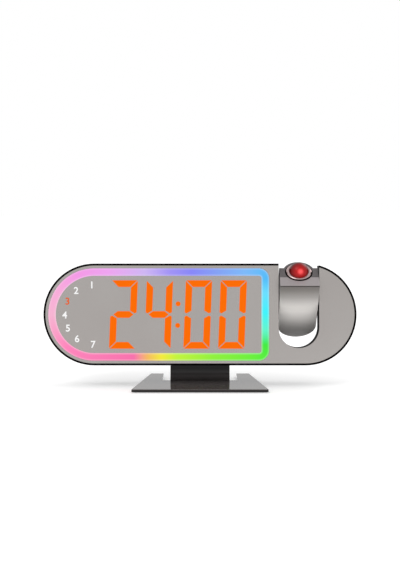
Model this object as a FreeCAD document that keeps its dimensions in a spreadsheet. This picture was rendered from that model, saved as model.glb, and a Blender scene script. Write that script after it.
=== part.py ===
import FreeCAD, Part
import math
import os
import re
import sys
import Sketcher
from FreeCAD import Placement, Rotation, Vector

# Projection alarm clock: a leaning mirror-faced body on a bent sheet stand, with a
# tilting projector in an open slot. Millimetres, +Z up, the viewer looks along +Y.
# The body's own pieces are drawn upright about the face's centre: x to the right,
# y rearwards from the face, z up. A placement then leans them back.

SIZES = {
    "body_length": 206.0,
    "body_height": 67.0,
    "lean": 5.0,
    "face_height": 45.6,
    "base_front": 24.0,
    "base_rear": 38.8,
    "wall": 2.0,
    "fit_gap": 0.1,
    "rim_width": 1.2,
    "rim_proud": 0.3,
    "fascia_thick": 2.0,
    "housing_depth": 13.7,
    "cover_depth": 13.3,
    "cover_bevel": 3.6,
    "boss_inset": 1.9,
    "mid_boss_x": 28.0,
    "right_boss_x": 90.0,
    "right_boss_z": 18.0,
    "pocket_clear": 3.0,
    "ring_inset": 3.1,
    "ring_width": 4.9,
    "ring_right": 45.5,
    "ring_corner": 6.8,
    "sharpest_corner": 0.6,
    "ring_rib_near": 1.6,
    "ring_rib_far": 4.0,
    "ring_rib_depth": 1.9,
    "slot_x": 65.1,
    "slot_z": -8.75,
    "slot_radius": 13.36,
    "slot_flare": 3.0,
    "digit_height": 45.0,
    "digit_width": 17.3,
    "digit_stroke": 4.4,
    "digit_slant": 2.2,
    "digit_gap": 0.35,
    "digit_inlay": 0.3,
    "colon_radius": 1.6,
    "reflector_depth": 5.9,
    "board_thick": 1.6,
    "main_board_y": 15.6,
    "main_left": -75.0,
    "main_right": 42.0,
    "main_low": -26.0,
    "main_high": 25.0,
    "display_right": 48.6,
    "pivot_z": 10.6,
    "pivot_y": 8.8,
    "pin_radius": 2.5,
    "pin_run": 0.05,
    "bush_wall": 1.0,
    "bush_length": 5.4,
    "bearing_radius": 4.8,
    "bearing_reach": 5.0,
    "rest_tilt": 40.0,
    "head_half_width": 12.8,
    "head_top": 18.2,
    "head_front": 8.8,
    "head_rear": 9.4,
    "tip_half": 2.9,
    "curve_start": 10.0,
    "lens_y": 5.2,
    "lens_radius": 6.6,
    "focus_wall": 1.6,
    "focus_shadow": 0.8,
    "barrel_wall": 1.4,
    "condenser_curve": 18.0,
    "barrel_low": -9.0,
    "sheet_thick": 1.8,
    "mat_thick": 0.6,
    "mat_inset": 4.0,
    "stand_front_half": 44.0,
    "stand_rear_half": 34.0,
    "neck_half": 20.0,
    "notch_half": 25.2,
    "notch_y": 11.2,
    "bend_radius": 5.5,
    "neck_y": 21.0,
    "neck_top": -17.0,
    "screw_radius": 1.25,
    "screw_head": 2.4,
    "key_proud": 1.0,
    "key_pitch": 13.0,
    "key_first_x": -62.0,
    "key_z": 10.0,
    "key_half_length": 4.5,
    "key_half_height": 2.5,
    "key_gap": 0.25,
    "key_bevel": 0.5,
    "switch_half": 3.0,
    "switch_height": 3.5,
    "snooze_half": 20.0,
    "snooze_y": 17.6,
    "snooze_half_width": 2.4,
    "cap_x": 24.0,
    "cap_z": -4.0,
    "cap_radius": 12.0,
    "cell_radius": 10.0,
    "cell_thick": 3.2,
    "socket_x": 2.0,
    "socket_z": 14.0,
    "socket_half": 4.4,
    "plug_radius": 2.9,
    "plug_pin": 0.9,
    "buzzer_x": -6.0,
    "buzzer_z": -8.0,
    "buzzer_radius": 6.0,
    "sound_ring": 3.4,
    "sound_hole": 0.8,
    "vent_first_x": -66.0,
    "vent_pitch": 4.0,
    "vent_width": 1.6,
    "vent_low": -20.0,
    "vent_high": -8.0,
}

doc = FreeCAD.newDocument("projection_alarm_clock")
sheet = doc.addObject("Spreadsheet::Sheet", "Sizes")
for row, (alias, number) in enumerate(SIZES.items(), start=1):
    sheet.set(f"A{row}", alias)
    sheet.set(f"B{row}", str(number))
    sheet.setAlias(f"B{row}", alias)
doc.recompute()

ALIAS = re.compile(r"\b(" + "|".join(SIZES) + r")\b")
parts = []

# Lengths that several pieces share, worked out from the sheet's sizes
end_radius = "(body_height / 2)"
end_x = "(body_length / 2 - body_height / 2)"
inner_radius = "(body_height / 2 - wall)"
back_y = "(housing_depth + cover_depth)"
ring_radius = "(body_height / 2 - ring_inset)"
board_back_y = "(fascia_thick + reflector_depth + board_thick)"
main_back_y = "(main_board_y + board_thick)"
focus_radius = "(lens_radius + fit_gap + focus_wall)"
bore_radius = "(lens_radius + fit_gap + focus_wall + focus_shadow)"
barrel_radius = "(lens_radius + fit_gap + focus_wall + focus_shadow + barrel_wall)"
bush_radius = "(pin_radius + pin_run + bush_wall)"
plate_top = "(mat_thick + sheet_thick)"
face_z = "(mat_thick + sheet_thick + face_height)"
pivot_across = "((base_front - base_rear) / 2 + pivot_y * cos(lean) + pivot_z * sin(lean))"
pivot_up = f"({face_z} - pivot_y * sin(lean) + pivot_z * cos(lean))"


def bound(expression):
    """An expression in plain size names, as the document reads it."""
    return ALIAS.sub(r"Sizes.\1", str(expression))


def size(expression):
    """The present value of such an expression."""
    return float(sheet.evalExpression(bound(expression)))


def bind(thing, **settings):
    for name, expression in settings.items():
        thing.setExpression(name.replace("__", "."), bound(expression))


# Where the pieces sit: on the floor, in the leaning body, in the tilted projector

def on_floor(part):
    part.Placement = Placement()
    bind(part, Placement__Base__y="(base_front - base_rear) / 2")


def in_body(part):
    part.Placement = Placement(Vector(), Rotation(Vector(1, 0, 0), 0))
    bind(part, Placement__Base__y="(base_front - base_rear) / 2", Placement__Base__z=face_z)
    bind(part, Placement__Rotation__Angle="-lean * 1 deg")


def in_projector(part):
    part.Placement = Placement(Vector(), Rotation(Vector(1, 0, 0), 0))
    bind(part, Placement__Base__x="slot_x", Placement__Base__y=pivot_across, Placement__Base__z=pivot_up)
    bind(part, Placement__Rotation__Angle="(rest_tilt - lean) * 1 deg")


def keep(part, label, place):
    """Names a finished sub-part and puts it in its place."""
    part.Label = label
    place(part)
    parts.append(part)
    return part


# Sketching

def new_body(name):
    return doc.addObject("PartDesign::Body", name)


def new_sketch(body, role, offset):
    """A sketch on one of the body's own planes, moved along that plane's normal."""
    plane = next(item for item in body.Origin.OriginFeatures if item.Role == role)
    sketch = body.newObject("Sketcher::SketchObject", "Outline")
    sketch.AttachmentSupport = [(plane, "")]
    sketch.MapMode = "FlatFace"
    bind(sketch, AttachmentOffset__Base__z=offset)
    return sketch


def face_sketch(body, depth):
    """A sketch parallel to the face, at a depth behind it."""
    return new_sketch(body, "XZ_Plane", f"-({depth})")


def measure(sketch, kind, *where, to):
    index = sketch.addConstraint(Sketcher.Constraint(kind, *where, size(to)))
    sketch.setExpression(f"Constraints[{index}]", bound(to))


def pin_point(sketch, curve, end, x, y):
    measure(sketch, "DistanceX", -1, 1, curve, end, to=x)
    measure(sketch, "DistanceY", -1, 1, curve, end, to=y)


def circle(sketch, x, y, radius):
    centre = Vector(size(x), size(y), 0)
    curve = sketch.addGeometry(Part.Circle(centre, Vector(0, 0, 1), size(radius)))
    pin_point(sketch, curve, 3, x, y)
    measure(sketch, "Radius", curve, to=radius)


def line(sketch, start, end):
    return sketch.addGeometry(Part.LineSegment(Vector(*start, 0), Vector(*end, 0)))


def arc(sketch, x, y, radius, start, end):
    ring = Part.Circle(Vector(x, y, 0), Vector(0, 0, 1), radius)
    return sketch.addGeometry(Part.ArcOfCircle(ring, math.radians(start), math.radians(end)))


def join(sketch, kind, *pairs):
    for first, first_end, second, second_end in pairs:
        sketch.addConstraint(Sketcher.Constraint(kind, first, first_end, second, second_end))


def level(sketch, kind, *curves):
    for curve in curves:
        sketch.addConstraint(Sketcher.Constraint(kind, curve))


def stadium(sketch, centre, radius):
    """Two half circles about x = -centre and +centre, joined by straight runs."""
    c, r = size(centre), size(radius)
    right = arc(sketch, c, 0, r, -90, 90)
    top = line(sketch, (c, r), (-c, r))
    left = arc(sketch, -c, 0, r, 90, 270)
    bottom = line(sketch, (-c, -r), (c, -r))
    join(sketch, "Tangent", (right, 2, top, 1), (top, 2, left, 1))
    join(sketch, "Tangent", (left, 2, bottom, 1), (bottom, 2, right, 1))
    pin_point(sketch, right, 3, centre, "0")
    pin_point(sketch, left, 3, f"-({centre})", "0")
    measure(sketch, "Radius", right, to=radius)
    sketch.addConstraint(Sketcher.Constraint("Equal", right, left))


def window(sketch, inset, right="ring_right"):
    """The light ring's outer outline moved inwards: a half circle on the left, two rounded
    corners on the right."""
    radius = f"({ring_radius} - ({inset}))"
    edge = f"({right} - ({inset}))"
    corner = f"max(ring_corner - ({inset}); sharpest_corner)"
    c, r, x, q = -size(end_x), size(radius), size(edge), size(corner)
    left = arc(sketch, c, 0, r, 90, 270)
    bottom = line(sketch, (c, -r), (x - q, -r))
    low = arc(sketch, x - q, -r + q, q, -90, 0)
    side = line(sketch, (x, -r + q), (x, r - q))
    high = arc(sketch, x - q, r - q, q, 0, 90)
    top = line(sketch, (x - q, r), (c, r))
    join(sketch, "Tangent", (left, 2, bottom, 1), (bottom, 2, low, 1), (low, 2, side, 1))
    join(sketch, "Tangent", (side, 2, high, 1), (high, 2, top, 1), (top, 2, left, 1))
    level(sketch, "Vertical", side)
    level(sketch, "Horizontal", bottom, top)
    pin_point(sketch, left, 3, f"-{end_x}", "0")
    measure(sketch, "Radius", left, to=radius)
    measure(sketch, "Radius", low, to=corner)
    sketch.addConstraint(Sketcher.Constraint("Equal", low, high))
    measure(sketch, "DistanceX", -1, 1, side, 1, to=edge)


def open_slot(sketch, x, z, radius, top):
    """A half circle below, two upright sides and a level top."""
    c, d, r, t = size(x), size(z), size(radius), size(top)
    low = arc(sketch, c, d, r, 180, 360)
    right = line(sketch, (c + r, d), (c + r, t))
    cap = line(sketch, (c + r, t), (c - r, t))
    left = line(sketch, (c - r, t), (c - r, d))
    join(sketch, "Tangent", (low, 2, right, 1), (left, 2, low, 1))
    join(sketch, "Coincident", (right, 2, cap, 1), (cap, 2, left, 1))
    level(sketch, "Vertical", left, right)
    level(sketch, "Horizontal", cap)
    pin_point(sketch, low, 3, x, z)
    measure(sketch, "Radius", low, to=radius)
    measure(sketch, "DistanceY", -1, 1, cap, 1, to=top)


def rectangle(sketch, left, right, low, high):
    x, u, y, v = size(left), size(right), size(low), size(high)
    sides = [line(sketch, (x, y), (u, y)), line(sketch, (u, y), (u, v))]
    sides += [line(sketch, (u, v), (x, v)), line(sketch, (x, v), (x, y))]
    for here, after in zip(sides, sides[1:] + sides[:1]):
        join(sketch, "Coincident", (here, 2, after, 1))
    level(sketch, "Horizontal", sides[0], sides[2])
    level(sketch, "Vertical", sides[1], sides[3])
    pin_point(sketch, sides[0], 1, left, low)
    pin_point(sketch, sides[2], 1, right, high)


def polygon(sketch, corners):
    """Straight runs through corners; a corner may carry the radius of an arc that follows it."""
    points = [(size(corner[0]), size(corner[1])) for corner in corners]
    curves = []
    for here, after, corner in zip(points, points[1:] + points[:1], corners):
        if len(corner) == 2:
            curves.append(line(sketch, here, after))
            continue
        curves.append(bowed(sketch, here, after, size(corner[2])))
    for index, corner in enumerate(corners):
        previous = curves[index - 1]
        tail = 2 if len(corners[index - 1]) == 2 or size(corners[index - 1][2]) > 0 else 1
        head = 1 if len(corner) == 2 or size(corner[2]) > 0 else 2
        join(sketch, "Coincident", (previous, tail, curves[index], head))
        pin_point(sketch, curves[index], head, corner[0], corner[1])
        if len(corner) == 3:
            measure(sketch, "Radius", curves[index], to=f"abs({corner[2]})")


def bowed(sketch, start, end, radius):
    """A shallow arc between two points; a positive radius turns anticlockwise."""
    dx, dy = end[0] - start[0], end[1] - start[1]
    chord = math.hypot(dx, dy)
    reach = math.sqrt(radius ** 2 - chord ** 2 / 4) * (1 if radius > 0 else -1)
    x = (start[0] + end[0]) / 2 - dy / chord * reach
    y = (start[1] + end[1]) / 2 + dx / chord * reach
    first = math.degrees(math.atan2(start[1] - y, start[0] - x))
    last = math.degrees(math.atan2(end[1] - y, end[0] - x))
    if radius < 0:
        first, last = last, first
    return arc(sketch, x, y, abs(radius), first, last)


# Features

def pad(body, sketch, length, towards_back=True):
    """Adds the sketch's area; the upright plane's normal points to the viewer."""
    feature = body.newObject("PartDesign::Pad", "Pad")
    feature.Profile = sketch
    feature.Reversed = towards_back
    bind(feature, Length=length)
    doc.recompute()
    return feature


def pocket(body, sketch, length, towards_back=True):
    feature = body.newObject("PartDesign::Pocket", "Pocket")
    feature.Profile = sketch
    feature.Reversed = not towards_back
    bind(feature, Length=length)
    before = feature.BaseFeature.Shape.Volume if feature.BaseFeature else 0
    doc.recompute()
    if before and feature.Shape.Volume > before - 1e-6:
        sys.exit(f"{body.Name}: a pocket cuts nothing")
    return feature


def block(body, shape, depth, length, **sizes):
    """Pads one outline rearwards from a depth."""
    sketch = face_sketch(body, depth)
    shape(sketch, **sizes)
    return pad(body, sketch, length)


def cut(body, shape, depth, length, **sizes):
    sketch = face_sketch(body, depth)
    shape(sketch, **sizes)
    return pocket(body, sketch, length)


def across(body, shape, length, additive, **sizes):
    """Pads or cuts an outline drawn in the YZ plane, equally to both sides."""
    sketch = new_sketch(body, "YZ_Plane", "0")
    shape(sketch, **sizes)
    kind = "PartDesign::Pad" if additive else "PartDesign::Pocket"
    feature = body.newObject(kind, "Across")
    feature.Profile = sketch
    feature.SideType = "Symmetric"
    bind(feature, Length=length)
    doc.recompute()
    return feature


def spun(body, corners):
    """Turns an outline of (radius, height) corners about the body's upright axis."""
    sketch = new_sketch(body, "XZ_Plane", "0")
    polygon(sketch, corners)
    feature = body.newObject("PartDesign::Revolution", "Turned")
    feature.Profile = sketch
    feature.ReferenceAxis = (sketch, ["V_Axis"])
    feature.Angle = 360
    doc.recompute()
    return feature


def finish_edges(kind, body, feature, test, **amount):
    """Rounds or bevels the edges that pass a test."""
    finish = body.newObject(kind, "EdgeFinish")
    finish.Base = (feature, [f"Edge{n + 1}" for n, edge in enumerate(feature.Shape.Edges) if test(edge)])
    bind(finish, **amount)
    doc.recompute()
    return finish


def round_edges(body, feature, radius, test):
    return finish_edges("PartDesign::Fillet", body, feature, test, Radius=radius)


def bevel_edges(body, feature, width, test):
    return finish_edges("PartDesign::Chamfer", body, feature, test, Size=width)


def at_depth(depth):
    """A test for edges that lie wholly at one depth behind the face."""
    y = size(depth)
    return lambda edge: all(abs(corner.Point.y - y) < 0.01 for corner in edge.Vertexes)


def runs_along(direction):
    """A test for edges that run a good way along y or z."""
    def test(edge):
        ends = [getattr(corner.Point, direction) for corner in edge.Vertexes]
        return abs(ends[0] - ends[-1]) > 1
    return test


def turned_cylinder(body, kind, x, radius, length, **place):
    """A cylinder along x, added to the body or taken from it."""
    feature = body.newObject(kind, "CrossCylinder")
    feature.Placement = Placement(Vector(), Rotation(Vector(0, 1, 0), 90))
    bind(feature, Radius=radius, Height=length, Placement__Base__x=x)
    for axis, value in place.items():
        bind(feature, **{"Placement__Base__" + axis: value})
    doc.recompute()
    return feature


# Primitives, turned so that a cylinder runs along the named axis

TURNS = {
    "x": Rotation(Vector(0, 1, 0), 90),
    "y": Rotation(Vector(1, 0, 0), -90),
    "z": Rotation(),
}


def rod(x, y, z, radius, length, axis="y"):
    """A cylinder that starts at a point and runs along its axis."""
    item = doc.addObject("Part::Cylinder", "Rod")
    item.Placement = Placement(Vector(), TURNS[axis])
    bind(item, Radius=radius, Height=length)
    bind(item, Placement__Base__x=x, Placement__Base__y=y, Placement__Base__z=z)
    return item


def brick(left, right, near, far, low, high):
    item = doc.addObject("Part::Box", "Brick")
    bind(item, Length=f"({right}) - ({left})", Width=f"({far}) - ({near})", Height=f"({high}) - ({low})")
    bind(item, Placement__Base__x=left, Placement__Base__y=near, Placement__Base__z=low)
    return item


def gather(kind, items):
    group = doc.addObject(kind, "Group")
    if kind == "Part::Compound":
        group.Links = items
    else:
        group.Shapes = items
    return group


def fuse(*items):
    return gather("Part::MultiFuse", list(items))


def group(items):
    return gather("Part::Compound", list(items))


def minus(base, *tools):
    result = doc.addObject("Part::Cut", "Cut")
    result.Base = base
    result.Tool = tools[0] if len(tools) == 1 else gather("Part::MultiFuse", list(tools))
    return result


def screw(x, head_y, z, length, inwards="-"):
    """A pan-head screw along y: its head is behind head_y and its shank runs forwards."""
    head = rod(x, head_y, z, "screw_head", "screw_radius")
    slot = brick(f"{x} - screw_head * 0.6", f"{x} + screw_head * 0.6", f"{head_y} + screw_radius / 2",
                 f"{head_y} + screw_radius * 2", f"{z} - 0.3", f"{z} + 0.3")
    shank = rod(x, f"{head_y} - ({length})", z, "screw_radius", length)
    return minus(fuse(head, shank), slot)


# Where the screws go

left_boss_x = f"(-{end_x} - ({inner_radius} - boss_inset) * cos(30))"
left_boss_z = f"(({inner_radius} - boss_inset) * sin(30))"
mid_boss_z = f"({inner_radius} - boss_inset)"
edge_points = [(left_boss_x, left_boss_z), (left_boss_x, f"-{left_boss_z}")]
edge_points += [("mid_boss_x", mid_boss_z), ("mid_boss_x", f"-{mid_boss_z}")]
housing_points = edge_points + [("right_boss_x", "right_boss_z"), ("right_boss_x", "-right_boss_z")]
board_boss_z = f"({inner_radius} - screw_head - fit_gap)"
board_points = [(x, f"{side}{board_boss_z}") for x in ("-52.0", "-12.0") for side in ("", "-")]
board_points += [("46.4", "21.5"), ("46.4", "-14.0")]
main_points = [("-70.0", "20.0"), ("-70.0", "-22.0"), ("38.0", "20.0"), ("38.0", "-22.0")]
neck_points = [("-12.0", "-22.0"), ("12.0", "-22.0")]
switch_points = [(f"(key_first_x + key_pitch * {index})", "key_z") for index in range(5)]
key_names = ["mode_key", "set_key", "up_key", "down_key", "alarm_key"]


def bosses(body, points, radius, depth, length):
    sketch = face_sketch(body, depth)
    for x, z in points:
        circle(sketch, x, z, radius)
    return pad(body, sketch, length)


def holes(body, points, radius, depth, length):
    sketch = face_sketch(body, depth)
    for x, z in points:
        circle(sketch, x, z, radius)
    return pocket(body, sketch, length)


# The mirror face, the light ring round the display, and the display window

fascia = new_body("fascia")
sketch = face_sketch(fascia, "0")
stadium(sketch, end_x, f"{end_radius} - rim_width - fit_gap")
window(sketch, "-fit_gap")
pad(fascia, sketch, "fascia_thick")
cut(fascia, open_slot, "-1", "fascia_thick + 2", x="slot_x", z="slot_z", radius="slot_radius",
    top="body_height")
keep(fascia, "fascia_panel", in_body)

ring = new_body("ring")
sketch = face_sketch(ring, "0")
window(sketch, "0")
window(sketch, "ring_width")
pad(ring, sketch, "fascia_thick")
sketch = face_sketch(ring, "fascia_thick")
window(sketch, "ring_rib_near")
window(sketch, "ring_rib_far")
pad(ring, sketch, "ring_rib_depth")
keep(ring, "light_ring", in_body)


def segment_outlines():
    """The seven bars of one digit about its own centre, each a closed run of corners."""
    w, h = size("digit_width / 2"), size("digit_height / 2")
    s, g = size("digit_stroke"), size("digit_gap")
    tip = s * 0.3
    top = [(-w + g, h), (w - g, h), (w - s - g, h - s), (-w + s + g, h - s)]
    upper = [(-w, h - g), (-w, 4 * g), (-w + tip, 2 * g), (-w + s, s / 2 + g), (-w + s, h - s - g)]
    middle = [(-w + tip + 2 * g, 0), (-w + s + g, s / 2), (w - s - g, s / 2), (w - tip - 2 * g, 0)]
    middle += [(w - s - g, -s / 2), (-w + s + g, -s / 2)]

    def flip(points, x, z):
        return [(px * x, pz * z) for px, pz in points]

    return {
        "top": top, "bottom": flip(top, 1, -1), "middle": middle,
        "upper_left": upper, "upper_right": flip(upper, -1, 1),
        "lower_left": flip(upper, 1, -1), "lower_right": flip(upper, -1, -1),
    }


DIGIT_CENTRES = (-50.4, -27.2, -1.5, 21.4)
COLON = ((-14.4, 7.0), (-14.7, -7.2))
LIT = {
    "two": ("top", "upper_right", "middle", "lower_left", "bottom"),
    "four": ("upper_left", "upper_right", "middle", "lower_right"),
    "zero": ("top", "bottom", "upper_left", "upper_right", "lower_left", "lower_right"),
}


def bars(digits, near, thick):
    """Prisms for the named bars of each digit, leaning with the digits' slant, and the colon."""
    slant = math.tan(math.radians(size("digit_slant")))
    outlines = segment_outlines()
    solids = []
    for centre, names in zip(DIGIT_CENTRES, digits):
        for name in names:
            points = [Vector(centre + x + z * slant, near, z) for x, z in outlines[name]]
            face = Part.Face(Part.makePolygon(points + points[:1]))
            solids.append(face.extrude(Vector(0, thick, 0)))
    for x, z in COLON:
        solids.append(Part.makeCylinder(size("colon_radius"), thick, Vector(x, near, z), Vector(0, 1, 0)))
    return solids


digits = doc.addObject("Part::Feature", "digits")
shown = [LIT["two"], LIT["four"], LIT["zero"], LIT["zero"]]
digits.Shape = Part.makeCompound(bars(shown, 0, size("digit_inlay")))
keep(digits, "time_digits", in_body)

lens_blank = new_body("lens_blank")
block(lens_blank, window, "0", "fascia_thick", inset="ring_width + fit_gap")
in_body(lens_blank)
display_lens = minus(lens_blank, digits)
display_lens.Label = "display_lens"
parts.append(display_lens)

# Behind the display: reflector with a window for each bar, board, and the small light sources

reflector_blank = new_body("reflector_blank")
block(reflector_blank, window, "fascia_thick", "reflector_depth", inset="ring_rib_far + fit_gap")
every = list(segment_outlines())
wells = doc.addObject("Part::Feature", "wells")
well_depth = size("reflector_depth") + 2
wells.Shape = Part.makeCompound(bars([every] * 4, size("fascia_thick") - 1, well_depth))
reflector = minus(reflector_blank, wells)
keep(reflector, "digit_reflector", in_body)

display_board = new_body("display_board_plate")
block(display_board, window, "fascia_thick + reflector_depth", "board_thick", inset="-0.7",
      right="(display_right - 0.7)")
holes(display_board, board_points, "screw_radius + fit_gap", "fascia_thick", "reflector_depth + 4")
holes(display_board, edge_points, "screw_head + 0.8", "fascia_thick", "reflector_depth + 4")
cut(display_board, rectangle, "fascia_thick", "reflector_depth + 4",
    left="slot_x - slot_radius - bearing_reach - 1.5", right="slot_x",
    low="pivot_z - bearing_radius - 1", high="pivot_z + bearing_radius + 1")
keep(display_board, "display_board", in_body)


def bar_centres():
    slant = math.tan(math.radians(size("digit_slant")))
    for centre in DIGIT_CENTRES:
        for name, outline in segment_outlines().items():
            x = (min(p[0] for p in outline) + max(p[0] for p in outline)) / 2
            z = (min(p[1] for p in outline) + max(p[1] for p in outline)) / 2
            yield centre + x + z * slant, z, "left" not in name and "right" not in name


def chip(x, z, half_x, half_z, height):
    y = "fascia_thick + reflector_depth"
    return brick(f"{x} - {half_x}", f"{x} + {half_x}", f"{y} - {height}", y,
                 f"{z} - {half_z}", f"{z} + {half_z}")


digit_lights = []
for x, z, flat in bar_centres():
    half_x, half_z = (1.4, 0.8) if flat else (0.8, 1.4)
    digit_lights.append(chip(x, z, half_x, half_z, 1.0))
keep(group(digit_lights), "digit_leds", in_body)

light_radius = f"({ring_radius} - (ring_rib_near + ring_rib_far) / 2)"
ring_lights = []
for x in (-62, -42, -32, -22, -2, 8, 18, 38):
    ring_lights += [chip(x, light_radius, 0.9, 0.9, 1.2), chip(x, f"-{light_radius}", 0.9, 0.9, 1.2)]
for angle in (-60, -45, 0, 45, 60):
    x = f"(-{end_x} - {light_radius} * cos({angle}))"
    ring_lights.append(chip(x, f"({light_radius} * sin({angle}))", 0.9, 0.9, 1.2))
for z in (-6, 6):
    ring_lights.append(chip("(ring_right - (ring_rib_near + ring_rib_far) / 2)", z, 0.9, 0.9, 1.2))
keep(group(ring_lights), "ring_leds", in_body)
keep(group([screw(x, board_back_y, z, "4.6") for x, z in board_points]), "display_screws", in_body)

# Front housing: rim, walls, the open slot and its pivot bearings

plate_back = "(fascia_thick + wall)"
housing = new_body("housing")
block(housing, stadium, "-rim_proud", "housing_depth + rim_proud", centre=end_x, radius=end_radius)
cut(housing, stadium, "-rim_proud", "rim_proud + fascia_thick", centre=end_x,
    radius=f"{end_radius} - rim_width")
cut(housing, stadium, plate_back, f"housing_depth - {plate_back}", centre=end_x, radius=inner_radius)
cut(housing, window, "0", "housing_depth", inset="ring_rib_near - fit_gap")
block(housing, open_slot, "fascia_thick", "housing_depth - fascia_thick", x="slot_x", z="slot_z",
      radius="slot_radius + wall", top=f"{end_radius} - 2.6")
block(housing, open_slot, "housing_depth - wall", "wall", x="slot_x", z="slot_z",
      radius="slot_radius + slot_flare + wall", top=f"{end_radius} - 3.6")
bosses(housing, housing_points, "screw_head", plate_back, f"housing_depth - {plate_back}")
board_boss_length = f"fascia_thick + reflector_depth - {plate_back}"
bosses(housing, board_points, "screw_radius + 0.75", plate_back, board_boss_length)
for start in ("slot_x + slot_radius + 0.5", "slot_x - slot_radius - 0.5 - bearing_reach"):
    turned_cylinder(housing, "PartDesign::AdditiveCylinder", start, "bearing_radius", "bearing_reach",
                    y="pivot_y", z="pivot_z")
cut(housing, open_slot, "-rim_proud - 1", "housing_depth + 3", x="slot_x", z="slot_z", radius="slot_radius",
    top="body_height")
bore_reach = "(slot_radius + bearing_reach + 2)"
turned_cylinder(housing, "PartDesign::SubtractiveCylinder", f"slot_x - {bore_reach}", bush_radius,
                f"2 * {bore_reach}", y="pivot_y", z="pivot_z")
holes(housing, housing_points, "screw_radius", "housing_depth - 7", "8")
holes(housing, board_points, "screw_radius", plate_back, board_boss_length)
keep(housing, "front_housing", in_body)

# Rear cover: a bevelled shell with its own wider slot, openings for the controls, and screw wells

back_wall = f"({back_y} - wall)"
cover_slot = "(slot_radius + slot_flare)"
liner_outside = f"({cover_slot} + wall)"


def cover_form(body):
    """The cover's outside, before it is hollowed."""
    form = block(body, stadium, "housing_depth", "cover_depth", centre=end_x, radius=end_radius)
    return bevel_edges(body, form, "cover_bevel", at_depth(back_y))


cover = new_body("cover")
bevelled = cover_form(cover)
hollow = cover.newObject("PartDesign::Thickness", "Hollow")
front = size("housing_depth")
faces = enumerate(bevelled.Shape.Faces)
hollow.Base = (bevelled, [f"Face{n + 1}" for n, face in faces if abs(face.CenterOfMass.y - front) < 0.01])
hollow.Reversed = True
bind(hollow, Value="wall")
doc.recompute()
bosses(cover, housing_points, "screw_head + 0.9", "housing_depth", "cover_depth - 1.2")
bosses(cover, main_points, "screw_radius + 1.2", main_back_y, f"{back_y} - 1 - {main_back_y}")
bosses(cover, neck_points, "screw_head + 0.6", "neck_y + sheet_thick", f"{back_y} - 1 - neck_y - sheet_thick")
cut(cover, open_slot, "housing_depth - 1", "cover_depth + 2", x="slot_x", z="slot_z",
    radius=f"{liner_outside} + fit_gap / 2", top="body_height")
holes(cover, housing_points, "screw_radius + fit_gap", "housing_depth - 1", "cover_depth + 2")
holes(cover, housing_points, "screw_head + fit_gap", "housing_depth + pocket_clear", "cover_depth")
holes(cover, main_points, "screw_radius", main_back_y, "6")
holes(cover, neck_points, "screw_radius + fit_gap", "neck_y", "8")
holes(cover, neck_points, "screw_head + fit_gap", f"{back_y} - screw_radius - 0.2", "3")
cut(cover, rectangle, "neck_y - 0.3", "sheet_thick + 0.6", left="-neck_half - 0.3", right="neck_half + 0.3",
    low=f"-{end_radius} - 1", high="neck_top - 6")


def through_back(shape_or_shapes):
    """Cuts one sketch of openings through the cover's back wall."""
    opening = face_sketch(cover, f"{back_wall} - 1")
    for shape, settings in shape_or_shapes:
        shape(opening, **settings)
    pocket(cover, opening, "wall + 3")


key_openings = []
for x, z in switch_points:
    key_openings.append((rectangle, {
        "left": f"{x} - key_half_length - key_gap", "right": f"{x} + key_half_length + key_gap",
        "low": f"{z} - key_half_height - key_gap", "high": f"{z} + key_half_height + key_gap"}))
through_back(key_openings)
round_openings = [("cap_x", "cap_z", "cap_radius + 0.15"), ("socket_x", "socket_z", "socket_half + 0.2")]
round_openings.append(("buzzer_x", "buzzer_z", "sound_hole"))
for angle in range(0, 360, 60):
    round_openings.append((f"buzzer_x + sound_ring * cos({angle})", f"buzzer_z + sound_ring * sin({angle})",
                           "sound_hole"))
through_back([(circle, {"x": x, "y": z, "radius": radius}) for x, z, radius in round_openings])
through_back([(rectangle, {"left": "cap_x - cap_radius - 2.0", "right": "cap_x + cap_radius + 2.0",
                           "low": "cap_z - 3.2", "high": "cap_z + 3.2"})])
for index in range(6):
    vent = f"vent_first_x + vent_pitch * {index}"
    through_back([(rectangle, {"left": vent, "right": f"{vent} + vent_width",
                               "low": "vent_low", "high": "vent_high"})])
top_opening = new_sketch(cover, "XY_Plane", f"{inner_radius} - 4")
rectangle(top_opening, "-snooze_half - key_gap", "snooze_half + key_gap",
          "snooze_y - snooze_half_width - key_gap", "snooze_y + snooze_half_width + key_gap")
pocket(cover, top_opening, "wall + 8", towards_back=False)
keep(cover, "rear_cover", in_body)

# Slot liner: a U-shaped trim between the housing and the cover's back, trimmed to the cover's outside
liner_blank = new_body("liner_blank")
block(liner_blank, open_slot, "housing_depth", "cover_depth", x="slot_x", z="slot_z", radius=liner_outside,
      top="body_height")
cut(liner_blank, open_slot, "housing_depth - 1", "cover_depth + 2", x="slot_x", z="slot_z", radius=cover_slot,
    top="body_height + 1")
liner_form = new_body("liner_form")
cover_form(liner_form)
liner = doc.addObject("Part::Common", "Liner")
liner.Base = liner_blank
liner.Tool = liner_form
keep(liner, "slot_liner", in_body)

# Screws that hold the shells, the main board and the stand
housing_head_y = "(housing_depth + pocket_clear)"
keep(group([screw(x, housing_head_y, z, "8.6") for x, z in housing_points]), "housing_screws", in_body)
main_screws = []
for x, z in main_points:
    head = rod(x, "main_board_y - screw_radius", z, "screw_head", "screw_radius")
    main_screws.append(fuse(head, rod(x, "main_board_y", z, "screw_radius", "board_thick + 5")))
keep(group(main_screws), "main_board_screws", in_body)
neck_head_y = f"({back_y} - screw_radius - 0.2)"
keep(group([screw(x, neck_head_y, z, "4.8") for x, z in neck_points]), "stand_screws", in_body)

# Main board and what it carries

main_board = new_body("main_board_plate")
block(main_board, rectangle, "main_board_y", "board_thick", left="main_left", right="main_right",
      low="main_low", high="main_high")
holes(main_board, main_points, "screw_radius + fit_gap", "main_board_y - 1", "board_thick + 2")
keep(main_board, "main_board", in_body)


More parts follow.
